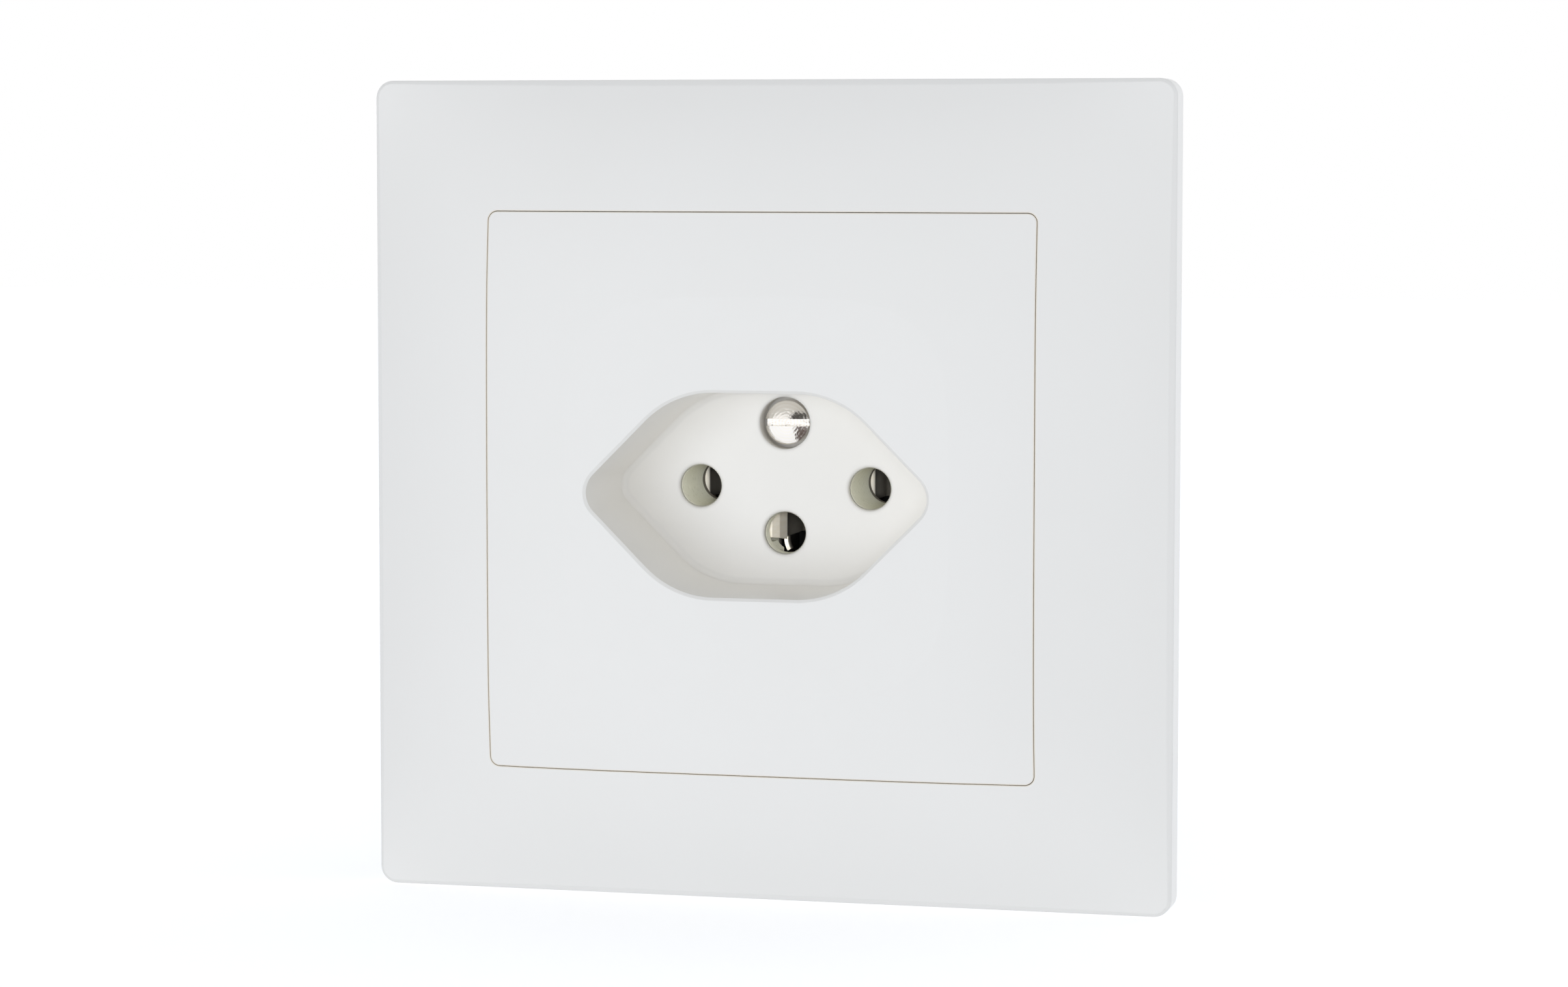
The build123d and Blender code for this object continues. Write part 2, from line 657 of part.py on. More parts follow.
# Earth contact: bowed fork spring whose long tapered fingers lead, with a short curled ear below each
earth_web_y = chamber_floor_y - earth_sheet / 2
earth_leg_mid = leg_start + earth_sheet / 2
earth_folded = earth_grip + earth_fold_spread
earth_root = earth_grip + earth_bow
with BuildPart() as earth_contact:
    with BuildSketch(Plane.XY.offset(finger_low - earth_offset)):
        with BuildLine():
            FilletPolyline(
                (-earth_lip, floor_y + earth_lead),
                (-earth_folded, floor_y + earth_fold),
                (-earth_grip, floor_y + earth_press),
                (-earth_root, floor_y + earth_bow_depth),
                (-earth_root, earth_web_y),
                (earth_root, earth_web_y),
                (earth_root, floor_y + earth_bow_depth),
                (earth_grip, floor_y + earth_press),
                (earth_folded, floor_y + earth_fold),
                (earth_lip, floor_y + earth_lead),
                radius=contact_bend_radius,
            )
        trace(line_width=earth_sheet)
    extrude(amount=finger_high - finger_low)
    with BuildSketch(Plane.YZ.offset(-earth_root - earth_sheet)):
        with BuildLine():
            Polyline(
                (floor_y + earth_lead - earth_sheet, finger_nose - earth_offset),
                (floor_y + earth_lead, finger_nose - earth_offset),
                (floor_y + trailing_start, finger_low - earth_offset),
                (floor_y + earth_lead - earth_sheet, finger_low - earth_offset),
                close=True,
            )
        make_face()
    extrude(amount=2 * (earth_root + earth_sheet), mode=Mode.SUBTRACT)
    for side in (-1, 1):
        with BuildSketch(depth_plane(floor_y + trailing_start + trailing_length)):
            with BuildLine():
                SagittaArc(
                    (side * earth_grip, trailing_top - earth_offset),
                    (side * (earth_grip - trailing_curl), trailing_low - earth_offset),
                    side * trailing_bow,
                )
            trace(line_width=earth_sheet)
        extrude(amount=trailing_length)
    with BuildSketch(pole_section("earth")):
        with BuildLine():
            FilletPolyline(
                (earth_offset - finger_high, earth_web_y),
                (earth_leg_mid, earth_web_y),
                (earth_leg_mid, cage_front_y),
                radius=contact_bend_radius,
            )
        trace(line_width=earth_sheet)
    extrude(amount=strip_width / 2, both=True)
earth_contact.part.label = "earth_contact"
export_step(earth_contact.part, "parts/earth_contact.step")

# Terminals: a brass cage, a pressure plate and a slotted screw for each pole
for pole in outward:
    with BuildPart() as terminal:
        with BuildSketch(pole_plane(pole, cage_front_y)):
            with Locations(((cage_start + cage_end) / 2, 0)):
                Rectangle(cage_end - cage_start, cage_width)
            with Locations(((leg_start + cage_window_end) / 2, 0)):
                window_depth = cage_window_end - leg_start
                Rectangle(window_depth, wire_width, mode=Mode.SUBTRACT)
        extrude(amount=cage_length)
        with BuildSketch(terminal_screw_plane(pole, cage_window_end)):
            Circle(terminal_screw_diameter / 2 + terminal_screw_clearance)
        extrude(amount=cage_outer_wall, mode=Mode.SUBTRACT)
    terminal.part.label = f"{pole}_terminal"
    export_step(terminal.part, f"parts/{pole}_terminal.step")

    with BuildPart() as clamp:
        with BuildSketch(pole_plane(pole, cage_front_y)):
            with Locations((clamp_start + clamp_thickness / 2, 0)):
                Rectangle(clamp_thickness, wire_width - 2 * clamp_side_clearance)
        extrude(amount=cage_length)
    clamp.part.label = f"{pole}_clamp"
    export_step(clamp.part, f"parts/{pole}_clamp.step")

    head_start = cage_end + terminal_screw_lift
    with BuildPart() as terminal_screw:
        with BuildSketch(terminal_screw_plane(pole, clamp_end)):
            Circle(terminal_screw_diameter / 2)
        extrude(amount=head_start - clamp_end)
        with BuildSketch(terminal_screw_plane(pole, head_start)):
            Circle(terminal_screw_head_diameter / 2)
        extrude(amount=terminal_screw_head_height)
        slot_start = head_start + terminal_screw_head_height - terminal_slot_depth
        with BuildSketch(terminal_screw_plane(pole, slot_start)):
            Rectangle(terminal_slot_width, terminal_screw_head_diameter)
        extrude(amount=terminal_slot_depth, mode=Mode.SUBTRACT)
    terminal_screw.part.label = f"{pole}_screw"
    export_step(terminal_screw.part, f"parts/{pole}_screw.step")
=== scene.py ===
# %% [markdown]
# # A flush wall socket, dressed for its picture
#
# The socket is an assembly of twenty solids: a cover frame and a front plate that together make one cushion-shaped
# face, a six-sided pot that sinks into the plate, one slotted screw, and behind them the insulating insert,
# the contact springs, the terminals and the sheet-metal plate that is screwed to the wall box.
# The solids come in at their real size, in metres, with the face looking along -Y and the wall at y = 0.
# Their shapes are complete, so nothing is added to them here. This file gives each of them its finish, and sets up
# the camera, the light and the floor.

# %% Load the solids
import bpy
from mathutils import Matrix, Vector


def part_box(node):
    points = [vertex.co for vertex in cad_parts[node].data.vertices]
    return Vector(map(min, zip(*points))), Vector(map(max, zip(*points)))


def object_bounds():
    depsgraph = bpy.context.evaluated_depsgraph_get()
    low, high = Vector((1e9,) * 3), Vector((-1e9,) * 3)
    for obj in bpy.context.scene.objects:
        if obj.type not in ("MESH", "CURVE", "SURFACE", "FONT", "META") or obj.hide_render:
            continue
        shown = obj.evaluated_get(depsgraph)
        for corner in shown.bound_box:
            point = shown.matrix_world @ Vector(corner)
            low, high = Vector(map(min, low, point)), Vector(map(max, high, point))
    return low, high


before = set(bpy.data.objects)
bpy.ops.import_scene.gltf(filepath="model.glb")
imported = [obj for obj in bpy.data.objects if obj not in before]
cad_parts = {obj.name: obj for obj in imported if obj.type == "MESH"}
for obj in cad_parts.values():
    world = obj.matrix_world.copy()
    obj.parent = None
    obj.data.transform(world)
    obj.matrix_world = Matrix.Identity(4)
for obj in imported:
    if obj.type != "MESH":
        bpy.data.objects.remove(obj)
solids_low, solids_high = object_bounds()
print("solids:", len(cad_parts), "box in mm:", [round(1000 * v, 2) for v in (*solids_low, *solids_high)])

# %% [markdown]
# ## The camera
#
# The picture was taken from about 46 cm, a little to the right of the socket and slightly above it,
# with a long lens: the sides of the square frame hardly converge.
# The position and the three directions below come from the socket's own measures: the 19 mm between the
# pin holes and the corners of the frame fix where the camera must have stood.
# A camera in Blender looks along its own -Z, so its axes are written as the columns of a matrix.

# %% Place the camera
scene = bpy.context.scene
camera_place = Vector((0.11543, -0.44527, 0.03570))
camera_right = Vector((0.96848, 0.24911, 0.00095))
camera_up = Vector((-0.02039, 0.07549, 0.99694))
camera_ahead = Vector((-0.24827, 0.96553, -0.07819))

camera_data = bpy.data.cameras.new("studio_camera")
camera_data.sensor_fit = "HORIZONTAL"
camera_data.sensor_width = 36.0
camera_data.lens = 98.21
camera_data.clip_start = 0.01
camera = bpy.data.objects.new("studio_camera", camera_data)
scene.collection.objects.link(camera)
turned = Matrix((camera_right, camera_up, -camera_ahead)).transposed().to_4x4()
camera.matrix_world = Matrix.Translation(camera_place) @ turned
scene.camera = camera
print("camera is", round(1000 * camera_place.length), "mm from the middle of the socket")

# %% [markdown]
# ## The surroundings
#
# The socket stands on a light table before a bright white backdrop, so the world around it does much of the lighting.
# What the camera, the metal and anything clear see of that world is plain white.
# What lights the socket differs by direction: dimmest from the room in front, a little brighter from the right,
# and brightest from the backdrop behind. That is why the narrow side of the frame is nearly as bright as its face.
# One even level all round would be simpler, but then the side and the recess would lose their shape.
# The Light Path node tells seeing from lighting, and the direction's own Y and X give the change.

# %% Start the white world
scene.view_settings.view_transform = "Standard"
world = bpy.data.worlds.new("white_studio")
scene.world = world
world.use_nodes = True
world_tree = world.node_tree
world_tree.nodes.clear()

shown_world = world_tree.nodes.new("ShaderNodeBackground")
shown_world.inputs["Color"].default_value = (1.0, 1.0, 1.0, 1.0)
shown_world.inputs["Strength"].default_value = 1.0
soft_world = world_tree.nodes.new("ShaderNodeBackground")
soft_world.inputs["Color"].default_value = (0.895, 0.932, 1.0, 1.0)
print("world shows at", shown_world.inputs["Strength"].default_value)


# %% Let the light differ by direction
def remap(tree, value, start, end, low, high, curve="LINEAR"):
    """A number that goes from low to high while a value goes from start to end."""
    change = tree.nodes.new("ShaderNodeMapRange")
    change.interpolation_type = curve
    for socket, number in (("From Min", start), ("From Max", end), ("To Min", low), ("To Max", high)):
        change.inputs[socket].default_value = number
    tree.links.new(value, change.inputs["Value"])
    return change.outputs["Result"]


def reckon(tree, operation, first, second=0.0):
    """The result of one operation on a socket and a second socket or number."""
    step = tree.nodes.new("ShaderNodeMath")
    step.operation = operation
    tree.links.new(first, step.inputs[0])
    if isinstance(second, float):
        step.inputs[1].default_value = second
    else:
        tree.links.new(second, step.inputs[1])
    return step.outputs["Value"]


def split_axes(tree, place):
    """The X, Y and Z of a position or a direction."""
    split = tree.nodes.new("ShaderNodeSeparateXYZ")
    tree.links.new(place, split.inputs[0])
    return split.outputs


room_level, backdrop_level, right_level = 0.405, 1.15, 0.275
backdrop_full, right_full = 0.5, 0.9
direction = split_axes(world_tree, world_tree.nodes.new("ShaderNodeTexCoord").outputs["Generated"])
from_behind = remap(world_tree, direction["Y"], 0.0, backdrop_full, room_level, backdrop_level, "SMOOTHSTEP")
from_right = remap(world_tree, direction["X"], 0.0, right_full, 0.0, right_level, "SMOOTHSTEP")
world_tree.links.new(reckon(world_tree, "ADD", from_behind, from_right), soft_world.inputs["Strength"])
print("world lights at", room_level, "in front,", backdrop_level, "behind and up to", right_level, "more on the right")


# %% Tell seeing from lighting
def seen_directly(tree):
    """A socket that is 1 for what the camera, mirrors and clear things see, and 0 for what lights a surface."""
    path = tree.nodes.new("ShaderNodeLightPath").outputs
    seen = reckon(tree, "MAXIMUM", path["Is Camera Ray"], path["Is Glossy Ray"])
    return reckon(tree, "MAXIMUM", seen, path["Is Transmission Ray"])


world_choice = world_tree.nodes.new("ShaderNodeMixShader")
world_output = world_tree.nodes.new("ShaderNodeOutputWorld")
world_tree.links.new(seen_directly(world_tree), world_choice.inputs[0])
world_tree.links.new(soft_world.outputs[0], world_choice.inputs[1])
world_tree.links.new(shown_world.outputs[0], world_choice.inputs[2])
world_tree.links.new(world_choice.outputs[0], world_output.inputs["Surface"])
print("world has", len(world_tree.nodes), "nodes")

# %% [markdown]
# ## The lamps
#
# The picture has one large soft main light in front of the socket, to the left and rather low: the left end of
# the pot's floor lies in a gentle shade, and the lower walls are as bright as the upper ones.
# A small lamp round the lens reaches straight into the pot, as a ring light does.
# Metal sees the white studio instead of the lamps, so that no lamp makes a hot spot on the screw.
# A lamp's power spreads over its disc, so it is judged by what it does to a white surface, not by its number.
# The levels were found by lighting the socket with one light at a time: light adds up, so the mix could be worked out.


# %% Hang the lamps
def soft_lamp(name, place, aim, size, watts, colour):
    """A round lamp at a place that faces its aim."""
    lamp = bpy.data.lights.new(name, "AREA")
    lamp.shape = "DISK"
    lamp.size = size
    lamp.energy = watts
    lamp.color = colour
    holder = bpy.data.objects.new(name, lamp)
    scene.collection.objects.link(holder)
    holder.location = place
    holder.rotation_euler = (Vector(aim) - Vector(place)).to_track_quat("-Z", "Y").to_euler()
    return holder


lamp_white = (0.90, 0.937, 1.0)
socket_middle = (0.0, 0.0, 0.0)
main_place, lens_place = (-0.25, -0.76, -0.12), (0.1184, -0.4568, 0.0366)
main_size, lens_size = 0.60, 0.10
main_watts, ring_watts, hole_watts = 2.55, 0.27, 3.6
main_lamp = soft_lamp("main_lamp", main_place, socket_middle, main_size, main_watts, lamp_white)
ring_lamp = soft_lamp("ring_lamp", lens_place, socket_middle, lens_size, ring_watts, lamp_white)
for lamp in (main_lamp, ring_lamp):
    lamp.visible_glossy = False
    print(lamp.name, "at", round(lamp.location.length, 2), "m")

# %% [markdown]
# ## A lamp for the pin holes
#
# The pin holes are deep and narrow, and hardly any soft light reaches their walls. In the picture they are evenly
# lit all the same, as by a flash at the lens. A stronger lamp there would burn out the white face, so this one lights
# only the insert, its sheet and the springs: light linking gives a lamp the list of pieces that it reaches.

# %% Light the inside of the pin holes
hole_lamp = soft_lamp("hole_lamp", lens_place, socket_middle, lens_size, hole_watts, lamp_white)
hole_pieces = bpy.data.collections.new("seen_in_the_holes")
for name in ("contact_cover", "contact_retainer", "line_contact", "neutral_contact", "earth_contact"):
    hole_pieces.objects.link(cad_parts[name])
hole_lamp.light_linking.receiver_collection = hole_pieces

# %% [markdown]
# ## The dark cards
#
# Bright metal only looks like metal when something dark shows in it. In the picture two dark marks show in the screw's
# head: one on the right above the slot, from the dark end of the room, and a smaller brown one on the right below it.
# A dark card behind the camera gives the first, and a brown strip that lies on the table in front gives the second.
# Only mirrors see them, so they neither shade the socket nor show in a picture.


# %% Set up the dark cards
def mirror_card(name, corners, colour):
    """A matt card that is seen in mirrors alone."""
    mesh = bpy.data.meshes.new(name)
    mesh.from_pydata(corners, [], [(0, 1, 2, 3)])
    card = bpy.data.objects.new(name, mesh)
    scene.collection.objects.link(card)
    matt = bpy.data.materials.new(name + "_cloth")
    matt.use_nodes = True
    matt_shader = matt.node_tree.nodes["Principled BSDF"]
    matt_shader.inputs["Base Color"].default_value = (*colour, 1.0)
    matt_shader.inputs["Roughness"].default_value = 0.9
    mesh.materials.append(matt)
    for ray in ("camera", "diffuse", "transmission", "volume_scatter", "shadow"):
        setattr(card, "visible_" + ray, False)
    print(name, "with its first corner at", [round(part, 3) for part in corners[0]])


card_depth, card_left, card_right, card_low, card_high = -0.60, -0.09, 0.20, -0.02, 0.15
card_corners = [(card_left, card_low), (card_right, card_low), (card_right, card_high), (card_left, card_high)]
mirror_card("dark_card", [(x, card_depth, z) for x, z in card_corners], (0.03, 0.025, 0.02))
strip_rise = 0.0005
strip_level = solids_low.z + strip_rise
strip_left, strip_right, strip_near, strip_far = 0.002, 0.075, -0.060, -0.300
strip_corners = [(strip_left, strip_near), (strip_right, strip_near),
                 (strip_right, strip_far), (strip_left, strip_far)]
mirror_card("brown_strip", [(x, y, strip_level) for x, y in strip_corners], (0.10, 0.06, 0.045))

# %% [markdown]
# ## The floor
#
# A plain pale floor under the lower edge of the frame takes the socket's shadow. It is the top of the light table,
# so it lets light through from below: switching off its diffuse and shadow visibility does that, for the world
# and for the main lamp, which hangs partly below the table top.
# The camera sees it brighter than it is lit, so that away from the shadow it runs into the white of the world
# without a visible edge.

# %% Lay the floor
floor_half, floor_gap = 2.0, 0.0002
floor_mesh = bpy.data.meshes.new("studio_floor")
floor_level = solids_low.z - floor_gap
corners = [(-1, -1), (1, -1), (1, 1), (-1, 1)]
floor_points = [(x * floor_half, y * floor_half, floor_level) for x, y in corners]
floor_mesh.from_pydata(floor_points, [], [(0, 1, 2, 3)])
studio_floor = bpy.data.objects.new("studio_floor", floor_mesh)
scene.collection.objects.link(studio_floor)
studio_floor.visible_diffuse = False
studio_floor.visible_shadow = False
print("floor at z =", round(1000 * floor_level, 2), "mm")

# %% Make the floor's white
floor_finish = bpy.data.materials.new("studio_floor_white")
floor_finish.use_nodes = True
floor_tree = floor_finish.node_tree
floor_tree.nodes.clear()
floor_matt = floor_tree.nodes.new("ShaderNodeBsdfDiffuse")
floor_matt.inputs["Color"].default_value = (0.86, 0.86, 0.86, 1.0)
floor_lift = floor_tree.nodes.new("ShaderNodeEmission")
floor_lift.inputs["Color"].default_value = (1.0, 1.0, 1.0, 1.0)
lift_level = 0.45
floor_sum = floor_tree.nodes.new("ShaderNodeAddShader")
floor_output = floor_tree.nodes.new("ShaderNodeOutputMaterial")
floor_lifted = reckon(floor_tree, "MULTIPLY", seen_directly(floor_tree), lift_level)
floor_tree.links.new(floor_lifted, floor_lift.inputs["Strength"])
floor_tree.links.new(floor_matt.outputs[0], floor_sum.inputs[0])
floor_tree.links.new(floor_lift.outputs[0], floor_sum.inputs[1])
floor_tree.links.new(floor_sum.outputs[0], floor_output.inputs["Surface"])
floor_mesh.materials.append(floor_finish)
print("the camera sees the floor", lift_level, "brighter than it is lit")

# %% [markdown]
# ## Helpers for the finishes
#
# Every finish here is a Principled shader with a few texture nodes in front of it.
# The solids have no UV map, so the textures are placed by position, in metres: a scale of 1000 means
# features of about a millimetre.
# `finish` starts a material, `grain` makes noise for it, and `tint`, `spread` and `relief` turn the noise into
# a colour, a number and bumps. `dress` puts the material on the solids.


# %% Start a finish and its noise
def finish(name, colour, roughness, metallic=0.0):
    """A material with its node tree and its Principled shader."""
    made = bpy.data.materials.new(name)
    made.use_nodes = True
    shader = made.node_tree.nodes["Principled BSDF"]
    shader.inputs["Base Color"].default_value = (*colour, 1.0)
    shader.inputs["Roughness"].default_value = roughness
    shader.inputs["Metallic"].default_value = metallic
    return made, made.node_tree, shader


def position(tree):
    """The place on the socket, in metres."""
    return tree.nodes.new("ShaderNodeTexCoord").outputs["Object"]


def grain(tree, scale, detail, stretch=None):
    """Noise between 0 and 1, finer along an axis whose stretch is larger."""
    noise = tree.nodes.new("ShaderNodeTexNoise")
    noise.inputs["Scale"].default_value = scale
    noise.inputs["Detail"].default_value = detail
    place = position(tree)
    if stretch:
        mapping = tree.nodes.new("ShaderNodeMapping")
        mapping.inputs["Scale"].default_value = stretch
        tree.links.new(place, mapping.inputs["Vector"])
        place = mapping.outputs["Vector"]
    tree.links.new(place, noise.inputs["Vector"])
    return noise.outputs["Fac"]


# %% Turn noise into colour, roughness and bumps
def tint(tree, value, stops):
    """A colour that follows a value: stops are (value, colour) pairs."""
    ramp = tree.nodes.new("ShaderNodeValToRGB")
    while len(ramp.color_ramp.elements) < len(stops):
        ramp.color_ramp.elements.new(0.5)
    for element, (at, colour) in zip(ramp.color_ramp.elements, stops):
        element.position = at
        element.color = (*colour, 1.0)
    tree.links.new(value, ramp.inputs["Fac"])
    return ramp.outputs["Color"]


def spread(tree, value, low, high):
    """A number that follows a value between two ends."""
    return remap(tree, value, 0.0, 1.0, low, high)


def relief(tree, height, strength, depth, under=None):
    """Bumps of a depth in metres, laid over the bumps under them."""
    bump = tree.nodes.new("ShaderNodeBump")
    bump.inputs["Strength"].default_value = strength
    bump.inputs["Distance"].default_value = depth
    tree.links.new(height, bump.inputs["Height"])
    if under is not None:
        tree.links.new(under, bump.inputs["Normal"])
    return bump.outputs["Normal"]


def dress(made, *names):
    """Give solids their finish."""
    for name in names:
        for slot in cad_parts[name].material_slots:
            slot.material = made
    print(made.name, "on", ", ".join(names))


print("solids to dress:", len(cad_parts))

# %% [markdown]
# ## White moulded plastic
#
# The frame and the front plate are one warm white plastic, moulded in a finely eroded tool.
# The face is satin: it has no mirror image, only a soft sheen, and up close a grain of a few tenths of
# a millimetre. The colour is the same all over, with a very slight cloudiness, so nearly all of the detail is in the
# roughness and in two sizes of bump.

# %% Start the white plastic
white_plastic, tree, shader = finish("white_moulded_plastic", (0.95, 0.926, 0.874), roughness=0.42)
cloud = grain(tree, scale=60.0, detail=3.0)
white = tint(tree, cloud, [(0.3, (0.946, 0.922, 0.869)), (0.7, (0.954, 0.930, 0.879))])
sheen = grain(tree, scale=420.0, detail=4.0)
tree.links.new(spread(tree, sheen, low=0.36, high=0.50), shader.inputs["Roughness"])
print(white_plastic.name, "has", len(tree.nodes), "nodes so far")

# %% [markdown]
# A joint as narrow as the one between plate and frame is painted warmer and a little darker than the plastic, as
# painted shade.
# It could be painted by hand on a UV map. Here the distance from a square with rounded corners finds it:
# what reaches past the straight sides in X and in Z, taken as one length.
# `blend` goes from one colour to another by a share. A Mix node has sockets for every kind of data, and its two
# colours are the inputs 6 and 7.


# %% Paint shade into the joint
def blend(tree, share, first, second):
    """One colour where the share is 0 and another, a socket or a plain colour, where it is 1."""
    mix = tree.nodes.new("ShaderNodeMix")
    mix.data_type = "RGBA"
    tree.links.new(share, mix.inputs[0])
    tree.links.new(first, mix.inputs[6])
    if isinstance(second, tuple):
        mix.inputs[7].default_value = (*second, 1.0)
    else:
        tree.links.new(second, mix.inputs[7])
    return mix.outputs[2]


def vector_step(tree, operation, vector, operand=None):
    """The outputs of one operation on a vector and, where it takes one, a second vector."""
    step = tree.nodes.new("ShaderNodeVectorMath")
    step.operation = operation
    tree.links.new(vector, step.inputs[0])
    if operand:
        step.inputs[1].default_value = operand
    return step.outputs


joint_half, joint_corner = 0.029985, 0.001
joint_shade_core, joint_shade_edge = 0.00006, 0.00018
# the colour of the painted shade in the joint
joint_shade_colour = (0.97, 0.89, 0.75)
side_start = joint_half - joint_corner
from_middle = vector_step(tree, "ABSOLUTE", position(tree))["Vector"]
past_sides = vector_step(tree, "SUBTRACT", from_middle, (side_start, 0.0, side_start))["Vector"]
past_sides = vector_step(tree, "MULTIPLY", past_sides, (1.0, 0.0, 1.0))["Vector"]
past_sides = vector_step(tree, "MAXIMUM", past_sides, (0.0, 0.0, 0.0))["Vector"]
past_corner = vector_step(tree, "LENGTH", past_sides)["Value"]
off_joint = reckon(tree, "ABSOLUTE", reckon(tree, "SUBTRACT", past_corner, joint_corner))
# painted shade: a warm tint that is strongest in the middle of the joint and fades out within a fifth of a millimetre
painted_joint_shade = remap(tree, off_joint, joint_shade_core, joint_shade_edge, 1.0, 0.0)
tree.links.new(blend(tree, painted_joint_shade, white, joint_shade_colour), shader.inputs["Base Color"])
print("dust lies within", round(1000 * joint_shade_edge, 2), "mm of the joint's middle")

# %% [markdown]
# No moulded edge is quite sharp. Rounding every one of them in the mesh would take many thousands of triangles, so the
# Bevel node rounds the light on them instead: by about 0.7 mm in the pot, whose foot is soft, and by 0.2 mm
# further out, where the joint is a crisp line. The distance from the middle decides, and the depth keeps the
# mouth of the pot crisp. The grain of the tool is laid over that.

# %% Round the light on the white edges
pot_reach, face_start = 0.022, 0.026
mouth_depth, pot_depth = -0.0088, -0.0060
pot_round, face_round, mouth_round = 0.0007, 0.00022, 0.0001
sides = split_axes(tree, from_middle)
furthest = reckon(tree, "MAXIMUM", sides["X"], sides["Z"])
round_by_place = remap(tree, furthest, pot_reach, face_start, pot_round, face_round)
depth = split_axes(tree, position(tree))["Y"]
round_by_depth = remap(tree, depth, mouth_depth, pot_depth, mouth_round, pot_round)
soft_edges = tree.nodes.new("ShaderNodeBevel")
soft_edges.samples = 6
tree.links.new(reckon(tree, "MINIMUM", round_by_place, round_by_depth), soft_edges.inputs["Radius"])
fine_grain, wide_grain = grain(tree, scale=5200.0, detail=2.0), grain(tree, scale=900.0, detail=3.0)
eroded = relief(tree, fine_grain, strength=0.10, depth=0.00004, under=soft_edges.outputs["Normal"])
tree.links.new(relief(tree, wide_grain, strength=0.05, depth=0.00005, under=eroded), shader.inputs["Normal"])
dress(white_plastic, "cover_frame", "front_plate")

# %% [markdown]
# ## Olive-grey insulating plastic
#
# The insert behind the pot is a pressed thermoset. It is seen only as the wall of the pin holes:
# light olive grey, matt, with the fine dark and pale specks of its mineral filler. A noise texture in narrow steps
# gives the specks their hard edges, which a smooth change of colour would not.

# %% Make the insert's plastic
insert_plastic, tree, shader = finish("olive_grey_thermoset", (0.66, 0.64, 0.515), roughness=0.62)
specks = grain(tree, scale=2600.0, detail=1.0)
clouds = grain(tree, scale=140.0, detail=4.0)
speck_stops = [(0.26, (0.55, 0.535, 0.41)), (0.36, (0.65, 0.63, 0.505)),
               (0.66, (0.67, 0.65, 0.525)), (0.78, (0.74, 0.72, 0.595))]
tree.links.new(tint(tree, specks, speck_stops), shader.inputs["Base Color"])
tree.links.new(spread(tree, clouds, low=0.54, high=0.70), shader.inputs["Roughness"])
tree.links.new(relief(tree, specks, strength=0.15, depth=0.00005), shader.inputs["Normal"])
dress(insert_plastic, "contact_cover")

# %% [markdown]
# The base behind it is the same kind of pressing in dark grey: seen through the pin holes, everything
# behind the insert is nearly black.

# %% Make the base's plastic
base_plastic, tree, shader = finish("dark_grey_thermoset", (0.055, 0.055, 0.053), roughness=0.58)
specks = grain(tree, scale=2200.0, detail=1.0)
clouds = grain(tree, scale=120.0, detail=4.0)
dark_stops = [(0.28, (0.040, 0.040, 0.038)), (0.38, (0.053, 0.053, 0.051)),
              (0.68, (0.058, 0.058, 0.056)), (0.78, (0.090, 0.090, 0.086))]
tree.links.new(tint(tree, specks, dark_stops), shader.inputs["Base Color"])
tree.links.new(spread(tree, clouds, low=0.48, high=0.66), shader.inputs["Roughness"])
tree.links.new(relief(tree, specks, strength=0.15, depth=0.00005), shader.inputs["Normal"])
dress(base_plastic, "socket_base")

# %% [markdown]
# ## Insulating sheet
#
# Behind the insert a thin dark sheet keeps the springs in their chambers. Such sheets are pressed from paper and resin,
# so short fibres show in them.

# %% Make the sheet's finish
hard_paper, tree, shader = finish("dark_hard_paper", (0.14, 0.12, 0.09), roughness=0.55)
fibres = grain(tree, scale=900.0, detail=4.0, stretch=(0.35, 1.0, 1.6))
paper = tint(tree, fibres, [(0.3, (0.11, 0.095, 0.07)), (0.7, (0.19, 0.165, 0.125))])
tree.links.new(paper, shader.inputs["Base Color"])
tree.links.new(relief(tree, fibres, strength=0.2, depth=0.00004), shader.inputs["Normal"])
dress(hard_paper, "contact_retainer")

# %% [markdown]
# ## Nickel plate
#
# The screw and the contact springs are brass under a thin warm nickel plate. The springs are stamped from rolled strip,
# so they carry faint scratches along their length: a noise that is stretched along Y, the way a plug pin slides.
# Their plate is dull, so part of the light is scattered as from paint, and Metallic is below 1.
# Seen through the holes, only the front of each spring is pale, and it turns dark further in. The position along Y
# gives that change: from a depth on, the colour is painted dark, as painted shade.


# %% Make the springs' nickel
def strip_nickel(name, dark_from):
    """Rolled strip that is bright at its front and painted dark from a depth, in metres, as painted shade."""
    made, tree, shader = finish(name, (0.95, 0.87, 0.72), roughness=0.36, metallic=0.40)
    rolled = grain(tree, scale=700.0, detail=4.0, stretch=(4.0, 0.25, 4.0))
    bright = tint(tree, rolled, [(0.3, (0.93, 0.845, 0.68)), (0.7, (0.97, 0.90, 0.77))])
    dark = tint(tree, rolled, [(0.3, (0.10, 0.09, 0.07)), (0.7, (0.14, 0.125, 0.10))])
    depth = split_axes(tree, position(tree))["Y"]
    # painted shade: deeper than this depth the spring's colour turns dark
    painted_shade = remap(tree, depth, dark_from - painted_shade_edge, dark_from + painted_shade_edge, 0.0, 1.0)
    tree.links.new(blend(tree, painted_shade, bright, dark), shader.inputs["Base Color"])
    tree.links.new(spread(tree, rolled, low=0.28, high=0.46), shader.inputs["Roughness"])
    tree.links.new(relief(tree, rolled, strength=0.12, depth=0.00003), shader.inputs["Normal"])
    return made


# painted shade: the depths at which the springs' colour turns dark
painted_shade_edge = 0.0003
pin_dark_from, earth_dark_from = 0.0168, 0.0128
dress(strip_nickel("nickel_plated_strip", pin_dark_from), "line_contact", "neutral_contact")
dress(strip_nickel("nickel_plated_earth_strip", earth_dark_from), "earth_contact")

# %% [markdown]
# The screw's head was turned, so its marks run in rings round its own axis. A Wave texture in its Rings form does that
# when the position is first moved to the screw's axis. The plate on it isn't quite flat: a second, wider bump lets
# what shows in it have ragged edges.

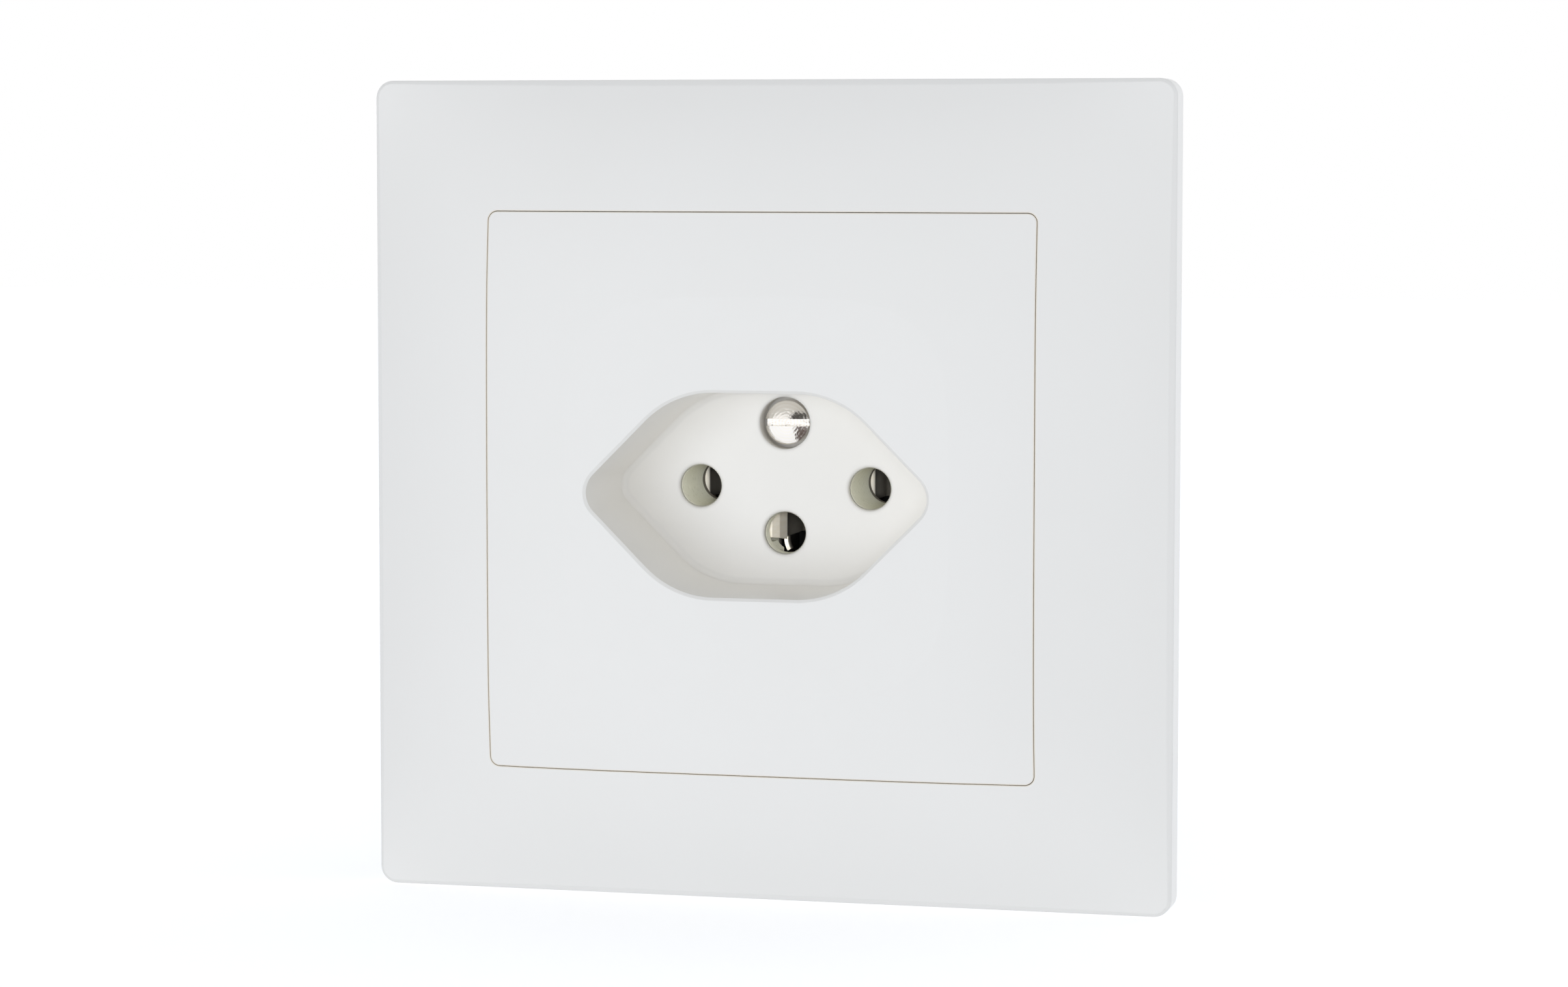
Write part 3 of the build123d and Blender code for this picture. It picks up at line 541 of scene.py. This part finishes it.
# %% Make the screw's nickel
screw_low, screw_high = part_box("fixing_screw")
screw_axis = (screw_low + screw_high) / 2
screw_nickel, tree, shader = finish("nickel_plated_turned", (0.93, 0.89, 0.83), roughness=0.14, metallic=1.0)
shift = tree.nodes.new("ShaderNodeMapping")
shift.inputs["Location"].default_value = (-screw_axis.x, 0.0, -screw_axis.z)
tree.links.new(position(tree), shift.inputs["Vector"])
rings = tree.nodes.new("ShaderNodeTexWave")
rings.wave_type = "RINGS"
rings.rings_direction = "Y"
rings.inputs["Scale"].default_value = 900.0
rings.inputs["Distortion"].default_value = 1.5
rings.inputs["Detail"].default_value = 2.0
tree.links.new(shift.outputs["Vector"], rings.inputs["Vector"])
turned_mark = rings.outputs["Fac"]
nickel = tint(tree, turned_mark, [(0.0, (0.90, 0.855, 0.79)), (1.0, (0.95, 0.92, 0.87))])
tree.links.new(nickel, shader.inputs["Base Color"])
plating = grain(tree, scale=900.0, detail=3.0)
tree.links.new(spread(tree, plating, low=0.10, high=0.20), shader.inputs["Roughness"])
uneven = relief(tree, plating, strength=0.25, depth=0.0002)
tree.links.new(relief(tree, turned_mark, strength=0.12, depth=0.00003, under=uneven), shader.inputs["Normal"])
dress(screw_nickel, "fixing_screw")
print("screw axis in mm:", round(1000 * screw_axis.x, 2), round(1000 * screw_axis.z, 2))

# %% [markdown]
# ## Brass
#
# The terminal cages are bent from brass strip and the bush is turned from brass rod. Both are plain metal,
# a little dulled by handling, with brighter and duller clouds.

# %% Make the brass
plain_brass, tree, shader = finish("plain_brass", (0.78, 0.60, 0.30), roughness=0.34, metallic=1.0)
dulled = grain(tree, scale=260.0, detail=5.0)
yellow = tint(tree, dulled, [(0.3, (0.64, 0.47, 0.22)), (0.7, (0.82, 0.64, 0.33))])
tree.links.new(yellow, shader.inputs["Base Color"])
tree.links.new(spread(tree, dulled, low=0.44, high=0.26), shader.inputs["Roughness"])
drawn = grain(tree, scale=1200.0, detail=3.0, stretch=(3.0, 0.3, 3.0))
tree.links.new(relief(tree, drawn, strength=0.10, depth=0.00003), shader.inputs["Normal"])
dress(plain_brass, "threaded_bush", "line_terminal", "neutral_terminal", "earth_terminal")

# %% [markdown]
# ## Galvanised steel
#
# The mounting plate is cut from galvanised sheet. Its zinc froze in crystals a few millimetres wide, each a slightly
# different grey: a Voronoi texture gives one tone to a cell.
# The terminal screws and their pressure plates are plain zinc plated.

# %% Make the galvanised sheet
zinc_sheet, tree, shader = finish("galvanised_sheet", (0.62, 0.63, 0.64), roughness=0.40, metallic=1.0)
crystals = tree.nodes.new("ShaderNodeTexVoronoi")
crystals.inputs["Scale"].default_value = 300.0
tree.links.new(position(tree), crystals.inputs["Vector"])
crystal_tone = tree.nodes.new("ShaderNodeRGBToBW")
tree.links.new(crystals.outputs["Color"], crystal_tone.inputs["Color"])
tone = crystal_tone.outputs["Val"]
crystal_grey = tint(tree, tone, [(0.2, (0.54, 0.55, 0.565)), (0.8, (0.68, 0.69, 0.70))])
tree.links.new(crystal_grey, shader.inputs["Base Color"])
tree.links.new(spread(tree, tone, low=0.34, high=0.50), shader.inputs["Roughness"])
dross = grain(tree, scale=1500.0, detail=3.0)
tree.links.new(relief(tree, dross, strength=0.08, depth=0.00004), shader.inputs["Normal"])
dress(zinc_sheet, "mounting_plate")

# %% Make the plain zinc plate
zinc_plate, tree, shader = finish("zinc_plated_steel", (0.64, 0.65, 0.67), roughness=0.34, metallic=1.0)
passivated = grain(tree, scale=500.0, detail=4.0)
plain_grey = tint(tree, passivated, [(0.3, (0.58, 0.59, 0.61)), (0.7, (0.70, 0.71, 0.72))])
tree.links.new(plain_grey, shader.inputs["Base Color"])
tree.links.new(spread(tree, passivated, low=0.28, high=0.42), shader.inputs["Roughness"])
steel_parts = [f"{pole}_{piece}" for pole in ("line", "neutral", "earth") for piece in ("screw", "clamp")]
dress(zinc_plate, *steel_parts)
